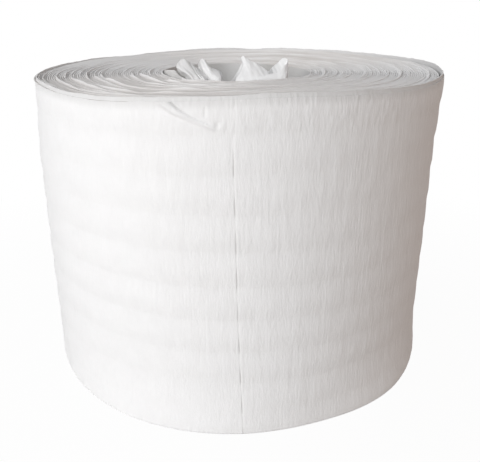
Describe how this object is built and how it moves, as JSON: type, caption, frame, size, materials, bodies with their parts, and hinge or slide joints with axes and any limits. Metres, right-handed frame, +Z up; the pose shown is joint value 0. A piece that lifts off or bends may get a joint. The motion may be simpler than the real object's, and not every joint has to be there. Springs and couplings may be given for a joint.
{
  "type": "nonwoven wipe roll",
  "caption": "Coreless roll of perforated white nonwoven wipes, standing on end, with its centre-pull end loose in the hollow.",
  "frame": {"origin": "centre of the foot, on the surface that the roll stands on", "axes": "+Z up along the winding axis, -Y towards the front, where the last turn's perforation line shows"},
  "size_m": [0.207, 0.207, 0.1591],
  "materials": {
    "nonwoven": "soft matt white web with a fine crepe across the roll"
  },
  "bodies": {
    "root": {"wipe_roll": "nonwoven"}
  },
  "joints": []
}
